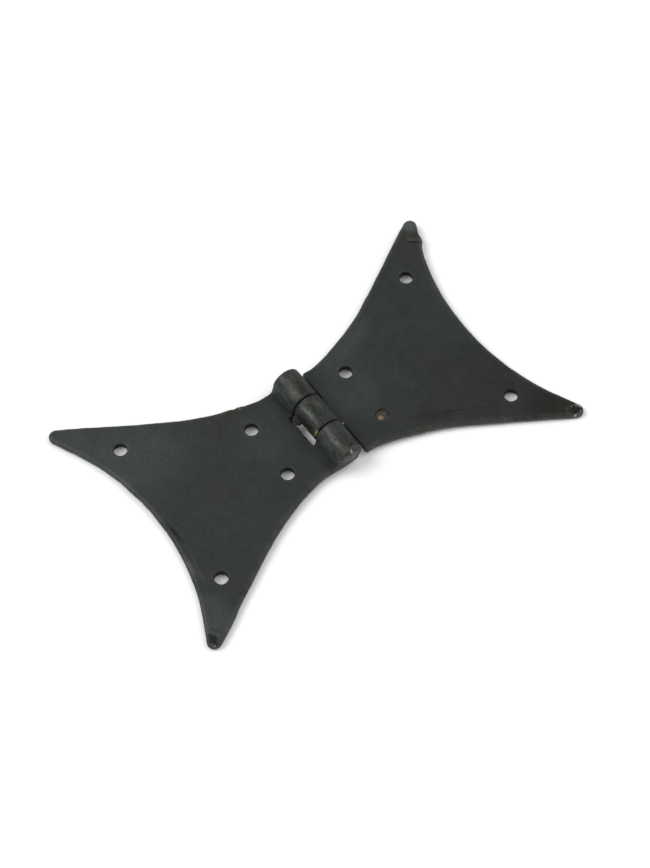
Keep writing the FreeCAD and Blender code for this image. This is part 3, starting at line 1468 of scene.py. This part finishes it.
@dataclass
class StudioCamera:
    """The camera at the photograph's angle, by azimuth and elevation about an aim on the floor."""

    azimuth: float = -35.78
    elevation: float = 59.14
    distance: float = 692.7
    aim: Point = (0.21, -3.55, 0.0)
    lens: float = 102.1

    def build(self) -> None:
        """Place the camera and make it the scene's own."""
        turn = math.radians(self.azimuth)
        rise = math.radians(self.elevation)
        back = Vector((math.sin(turn) * math.cos(rise), -math.cos(turn) * math.cos(rise), math.sin(rise)))
        data = bpy.data.cameras.new("studio_camera")
        data.lens = self.lens
        camera = placed("studio_camera", data)
        camera.location = (Vector(self.aim) + back * self.distance) * MM
        camera.rotation_euler = back.to_track_quat("Z", "Y").to_euler()
        bpy.context.scene.camera = camera


PALE_COOL = Tone(64, 70, 68)
SHADE = Tone(42, 45, 42)
DEEP_SHADE = Tone(34, 34, 31)
BLACK = Tone(20, 20, 18)
OLIVE = Tone(46, 45, 30)
PLUM = Tone(82, 78, 81)
RED_RUST = Tone(84, 60, 50)
# Painted glints: pale specks where burrs, pits and heads catch the light.
PAINTED_GLINT = Tone(168, 166, 150)
PALE_BLUE = Tone(80, 86, 89)
# Painted light: a paler blue-grey that lightens the lower left flanks of the outer knuckles.
TEAL = Tone(56, 67, 71)
EDGE_GREY = Tone(74, 73, 68)
# Painted highlights: a grey for soft bands and specks of light on the barrel and the tips, and a paler one
# for the highlight stripe along the knuckles.
PAINTED_SHEEN = Tone(76, 75, 70)
PAINTED_HIGHLIGHT = Tone(87, 88, 83)
PALE_OLIVE = Tone(94, 90, 62)
GOLD_RUST = Tone(158, 132, 90)
BROWN = Tone(60, 54, 46)
RAGGED = MarkEdge.RAGGED
MARK_DEPTH = 1.6


def on_front(place: Spot, reach: Spot, *look: Any, height: float = SHEET, **how: Any) -> Mark:
    """Describe a mark on a leaf's front, deep enough to cover its edge."""
    return Mark((*place, height), (*reach, MARK_DEPTH), *look, **how)


def on_barrel(axis_height: float, angle: float, along: float) -> Point:
    """Place on the barrel's surface, by its degrees from upright towards +X and its place along the pin."""
    lean = math.radians(angle)
    return (axis_height * math.sin(lean), along, axis_height * (1.0 + math.cos(lean)))


def two_knuckle_leaf(axis_height: float, holes: Holes) -> Leaf:
    """Describe the leaf that holds the pin.

    Args:
        axis_height: Height of the hinge axis.
        holes: Its screw holes.

    Returns:
        The leaf, ready to build.
    """
    roll = partial(on_barrel, axis_height)
    marks = (
        on_front((-50.0, 22.0), (26.0, 22.0), PALE_COOL, 0.8),
        on_front((-59.0, -33.0), (9.0, 11.0), PALE_COOL, 0.9),
        on_front((-59.0, 36.0), (7.0, 9.0), PALE_COOL, 0.8),
        on_front((-52.4, -5.8), (1.2, 6.4), BLACK, 0.8, RAGGED, 6.0),
        on_front((-55.6, -13.0), (1.6, 14.0), EDGE_GREY, 0.55, turn=9.0, height=1.7),
        Mark((-17.0, 16.4, 2.0), (4.5, 2.2, 3.0), OLIVE, 0.5, RAGGED, -18.0),
        on_front((-15.8, 16.1), (1.0, 0.7), RED_RUST, 0.4, RAGGED),
        # A painted glint on the burr.
        on_front((-15.2, 16.3), (0.4, 0.4), PAINTED_GLINT, 0.35),
        on_front((-15.0, 5.0), (11.0, 14.0), PALE_COOL, 0.35),
        on_front((-5.7, 4.8), (0.9, 1.6), BLACK, 0.8, RAGGED, height=1.9),
        on_front((-62.9, -40.4), (1.3, 1.2), EDGE_GREY, 0.8, RAGGED, height=1.8),
        on_front((-62.0, -39.0), (1.6, 2.7), BLACK, 1.0, RAGGED),
        on_front((-61.7, -38.7), (0.6, 1.0), OLIVE, 0.6, RAGGED),
        # A painted glint on the pitted tip.
        on_front((-62.7, -40.5), (0.5, 0.5), PAINTED_GLINT, 0.6, RAGGED),
        Mark((-5.0, 10.5, 2.1), (0.6, 8.0, 0.6), BLACK, 0.7),
        Mark((-5.0, -10.5, 2.1), (0.5, 8.0, 0.5), SHADE, 0.6),
        Mark(roll(14.0, 10.0), (3.0, 3.8, 2.4), OLIVE, 0.8, RAGGED),
        # Painted light on the two knuckles: highlights along their top left and right, plum-grey highlight
        # patches, and a lighter teal on their lower left flanks.
        Mark(roll(-26.0, 12.8), (1.6, 3.4, 1.3), PAINTED_HIGHLIGHT, 0.7, RAGGED),
        Mark(roll(-24.0, 9.5), (1.5, 6.0, 1.2), PAINTED_SHEEN, 0.8, RAGGED),
        Mark(roll(-44.0, 8.6), (1.2, 2.6, 1.4), PLUM, 0.5, RAGGED),
        Mark(roll(-73.0, 10.8), (2.2, 5.0, 3.2), TEAL, 0.8),
        Mark(roll(38.0, 8.5), (1.0, 4.5, 1.2), PAINTED_SHEEN, 0.4, RAGGED),
        Mark(roll(-18.0, -8.0), (1.8, 3.0, 1.4), PLUM, 0.6, RAGGED),
        Mark(roll(-26.0, -10.5), (1.5, 6.5, 1.3), PAINTED_SHEEN, 0.9, RAGGED),
        Mark(roll(-66.0, -10.5), (2.4, 5.5, 3.2), TEAL, 0.85),
        Mark(roll(42.0, -10.5), (1.1, 3.0, 1.4), PAINTED_SHEEN, 0.6, RAGGED),
        Mark(roll(18.0, -14.6), (2.4, 0.9, 1.4), BLACK, 0.8, RAGGED),
        Mark(roll(-22.0, -15.3), (1.8, 0.5, 1.4), BLACK, 0.8, RAGGED),
        Mark(roll(46.0, -14.8), (1.4, 0.7, 1.6), BLACK, 0.6, RAGGED),
        Mark(roll(72.0, -15.5), (1.4, 1.5, 2.4), PALE_OLIVE, 0.9, RAGGED),
        Mark(roll(33.0, -6.4), (1.2, 1.2, 1.4), BROWN, 0.6, RAGGED),
    )
    knuckles = (
        Knuckle(5.5, 15.6, 0.12, (Flat(-14.0, 0.012, 0.1), Flat(38.0, -0.01, 0.12)), seed=51),
        Knuckle(-15.6, -5.5, -0.16, (Flat(-38.0, 0.0, 0.1), Flat(14.0, -0.015, 0.12)), seed=57),
    )
    work = (
        EdgeBand((-55.0, 4.0), (-59.5, -31.0), 1.6, 0.35, 0.12, 61),
        Burr((-20.2, 18.4), (-13.4, 16.2), 0.32, 0.65, 63),
        Pit((-62.0, -39.0), (1.5, 2.4), 0.45, 0.15, 65),
        Lump((-59.2, 35.8), 7.0, 0.34, 0.0),
        Lump((-59.4, -36.0), 7.0, 0.36, 0.0),
    )
    tones = {"cool": Tone(49, 54, 52), "warm": Tone(51, 53, 49)}
    finish = WaxedSteel("waxed_steel_two_knuckle", axis_height, marks=marks, **tones)
    return Leaf("two_knuckle_leaf", "pinned_leaf", Hand.LEFT, axis_height, holes, knuckles, work, finish)


def one_knuckle_leaf(axis_height: float, holes: Holes) -> Leaf:
    """Describe the leaf that swings on the pin.

    Args:
        axis_height: Height of the hinge axis.
        holes: Its screw holes.

    Returns:
        The leaf, ready to build.
    """
    roll = partial(on_barrel, axis_height)
    marks = (
        # Painted light over the leaf: darker towards the tip at -Y, lighter towards the pin and the +Y edge.
        on_front((50.0, -20.0), (32.0, 30.0), SHADE, 0.9),
        on_front((57.5, -34.0), (12.0, 13.0), DEEP_SHADE, 1.0),
        on_front((29.0, -16.0), (11.0, 7.0), SHADE, 0.6),
        on_front((22.0, 16.5), (16.0, 6.0), PALE_COOL, 0.7, turn=18.0),
        on_front((14.0, 3.0), (12.0, 15.0), PALE_COOL, 0.45),
        on_front((61.8, 39.6), (3.6, 4.5), PALE_BLUE, 0.9),
        on_front((60.8, 35.0), (2.4, 1.8), OLIVE, 0.9, RAGGED, -37.0, height=2.2),
        # A painted shadow along the lap's step, a painted highlight on its lip and a painted glint on the
        # knob.
        on_front((58.9, 33.9), (3.0, 0.32), BLACK, 0.8, turn=-37.0),
        on_front((58.9, 34.5), (1.6, 0.28), PAINTED_SHEEN, 0.8, turn=-37.0, height=2.2),
        on_front((61.4, 33.0), (0.8, 0.4), PAINTED_GLINT, 0.5, turn=-37.0),
        Mark((61.7, -39.0, 2.0), (2.6, 2.4, 3.0), BLACK, 0.9, RAGGED, dulls=0.15),
        Mark((62.2, -39.2, 2.0), (1.1, 1.0, 3.0), OLIVE, 0.9, RAGGED),
        # Painted glints and specks of light round the pitted tip.
        on_front((63.4, -38.6), (1.5, 0.5), PAINTED_GLINT, 0.8, RAGGED, -45.0, height=1.7),
        on_front((61.5, -37.7), (0.6, 0.4), PAINTED_GLINT, 0.8, RAGGED),
        on_front((60.5, -40.5), (0.7, 0.5), PAINTED_GLINT, 0.9, RAGGED, height=1.6),
        on_front((60.9, -38.9), (0.4, 0.35), PAINTED_SHEEN, 0.9),
        on_front((62.7, -40.3), (0.4, 0.4), PAINTED_GLINT, 0.7, RAGGED, height=1.8),
        on_front((61.9, -41.0), (1.4, 0.8), PLUM, 0.95, RAGGED, height=1.6),
        on_front((31.0, -18.4), (15.0, 0.5), DEEP_SHADE, 0.6, RAGGED, -26.0),
        on_front((29.0, -18.4), (12.0, 0.4), DEEP_SHADE, 0.6, RAGGED, -27.0),
        # Painted glints along the burr.
        Mark((18.2, -20.0, 1.8), (0.5, 0.35, 1.2), PAINTED_GLINT, 0.7),
        Mark((20.1, -20.5, 1.8), (0.7, 0.35, 1.2), PAINTED_GLINT, 0.6),
        Mark((22.0, -21.0, 1.8), (0.4, 0.3, 1.2), PAINTED_GLINT, 0.7),
        Mark((5.3, -3.2, 2.0), (1.0, 1.0, 1.4), RED_RUST, 0.8, RAGGED),
        # A painted glint beside the rust.
        Mark((5.7, -4.7, 2.0), (0.4, 0.35, 1.2), PAINTED_GLINT, 0.9),
        Mark((5.0, 0.0, 2.1), (0.7, 8.0, 0.7), BLACK, 0.8),
        # Painted shade on the middle knuckle's lower left flank.
        Mark(roll(-72.0, 0.0), (1.8, 6.5, 3.4), BLACK, 0.7),
        Mark(roll(-66.0, -4.6), (1.3, 1.3, 2.6), BROWN, 0.9, RAGGED),
        Mark(roll(-64.0, -5.0), (1.2, 0.7, 2.4), GOLD_RUST, 1.0),
        # Painted highlights along the middle knuckle's top left and its right.
        Mark(roll(-35.0, 0.3), (1.0, 6.2, 1.0), PAINTED_HIGHLIGHT, 0.9, RAGGED),
        Mark(roll(-8.0, 0.5), (1.2, 4.8, 0.9), BLACK, 0.7, RAGGED),
        Mark(roll(20.0, 1.6), (1.2, 3.6, 1.0), PAINTED_SHEEN, 0.7, RAGGED),
    )
    gouges = (
        Gouge((24.6, -1.2), (15.5, -2.7), 0.34, 0.26),
        Gouge((-12.6, -2.7), (-12.4, -4.9), 0.3, 0.26),
    )
    flats = (Flat(-32.0, 0.01, 0.1), Flat(24.0, -0.01, 0.12))
    knuckles = (Knuckle(-5.05, 5.05, 0.1, flats, gouges, 71),)
    work = (
        EdgeBand((12.0, -17.0), (52.0, -37.0), 4.6, 0.3, 0.07, 73, 6.0),
        EdgeBand((57.5, 28.0), (57.5, -30.0), 1.2, 0.2, 0.0, 75),
        Burr((15.8, -18.9), (23.2, -21.3), 0.2, 0.7, 77),
        Lap((57.6, 35.2), (60.9, 32.65), 0.22, 2.0),
        Lump((61.5, 33.2), 1.8, 0.7, 0.1),
        Lump((60.6, 31.0), 2.4, 0.22, 0.0),
        Pit((61.8, -39.2), (2.2, 2.0), 0.4, 0.35, 79),
        Lump((59.2, 36.0), 7.0, 0.2, 0.0),
        Lump((59.2, -35.8), 7.0, 0.22, 0.0),
    )
    tones = {"ground": Tone(48, 52, 49), "cool": Tone(47, 53, 54), "warm": Tone(51, 51, 47)}
    finish = WaxedSteel("waxed_steel_one_knuckle", axis_height, marks=marks, **tones)
    return Leaf("one_knuckle_leaf", "swinging_leaf", Hand.RIGHT, axis_height, holes, knuckles, work, finish)


def hinge_pin(axis_height: float) -> HingePin:
    """Describe the pin.

    Args:
        axis_height: Height of the hinge axis.

    Returns:
        The pin, ready to build.
    """
    marks = (
        Mark((2.8, -16.4, axis_height + 1.0), (1.8, 1.2, 3.0), OLIVE, 0.8, RAGGED),
        # A painted glint on the lower head, and painted light on its hammered face.
        Mark((0.3, -16.2, axis_height + 2.9), (0.4, 1.0, 1.0), PAINTED_GLINT, 0.9, RAGGED),
        Mark((0.5, -16.6, axis_height + 0.5), (4.0, 1.2, 3.2), PLUM, 0.9, RAGGED),
    )
    finish = WaxedSteel("waxed_pin", axis_height, marks=marks)
    return HingePin("hinge_pin", "pinned_leaf", finish)


def caked_hole(holes: Holes) -> Cake:
    """Describe the caked screw hole.

    Args:
        holes: The swinging leaf's screw holes.

    Returns:
        The cake in the hole nearest the pin's lower end, ready to build.
    """
    hole = min(holes.places)
    clearance = 0.04
    return Cake(
        "caked_wax",
        "swinging_leaf",
        place=hole,
        reach=(holes.radius - clearance,) * 2,
        level=1.5,
        lump=(hole[0] - 0.8, hole[1] - 0.3),
        lump_reach=0.8,
        finish=CakedWax("caked_wax"),
    )


def slot_wax(axis_height: float) -> DomedDrop:
    """Describe the black drop that sticks to the middle knuckle and darkens the upper end of the slot.

    Args:
        axis_height: Height of the hinge axis, which is the barrel's radius too.

    Returns:
        The drop, ready to build.
    """
    crown = 2.0 * axis_height
    place = (0.0, 3.2)
    return DomedDrop(
        "slot_wax",
        "swinging_leaf",
        place=place,
        reach=(1.2, 1.75),
        level=crown + 1.15,
        lump=place,
        lump_reach=1.4,
        finish=CakedWax("slot_wax", dark=BLACK, brown=BLACK, gold=BLACK, roughness=0.8),
        floor=crown - 0.3,
        axis_height=axis_height,
        angle=-109.0,
    )


def screw_holes(record: Mapping[str, Any], leaf: str) -> Holes:
    """Read a leaf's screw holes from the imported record.

    Args:
        record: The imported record.
        leaf: The leaf's node.

    Returns:
        The screw holes.
    """
    mounts = [m for m in record["mounts"] if m["kind"] == "bolt_pattern" and m["name"].startswith(leaf)]
    spots = tuple(
        (mount["pos_m"][0] / MM, side * mount["dims"]["spacing_y_mm"] / 2.0)
        for mount in mounts
        for side in (-1, 1)
    )
    return Holes(spots, mounts[0]["dims"]["hole_r_mm"])


def main() -> None:
    """Build the hinge and its studio."""
    logging.basicConfig(level=logging.INFO, format="%(name)s: %(message)s")
    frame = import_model()
    record = frame["record"]
    axis_height = frame["joints"][0]["pos_m"][2] / MM

    pieces: list[bpy.types.Object] = []
    for describe, node in ((two_knuckle_leaf, "two_knuckle_leaf"), (one_knuckle_leaf, "one_knuckle_leaf")):
        pieces.append(describe(axis_height, screw_holes(record, node)).build(frame))
    pieces.append(hinge_pin(axis_height).build(frame))
    pieces.append(caked_hole(screw_holes(record, "one_knuckle_leaf")).build())
    pieces.append(slot_wax(axis_height).build())
    for piece in pieces:
        log.info("%s: %d faces", piece.name, len(piece.data.polygons))

    Studio().build()
    StudioCamera().build()


if __name__ == "__main__":
    main()
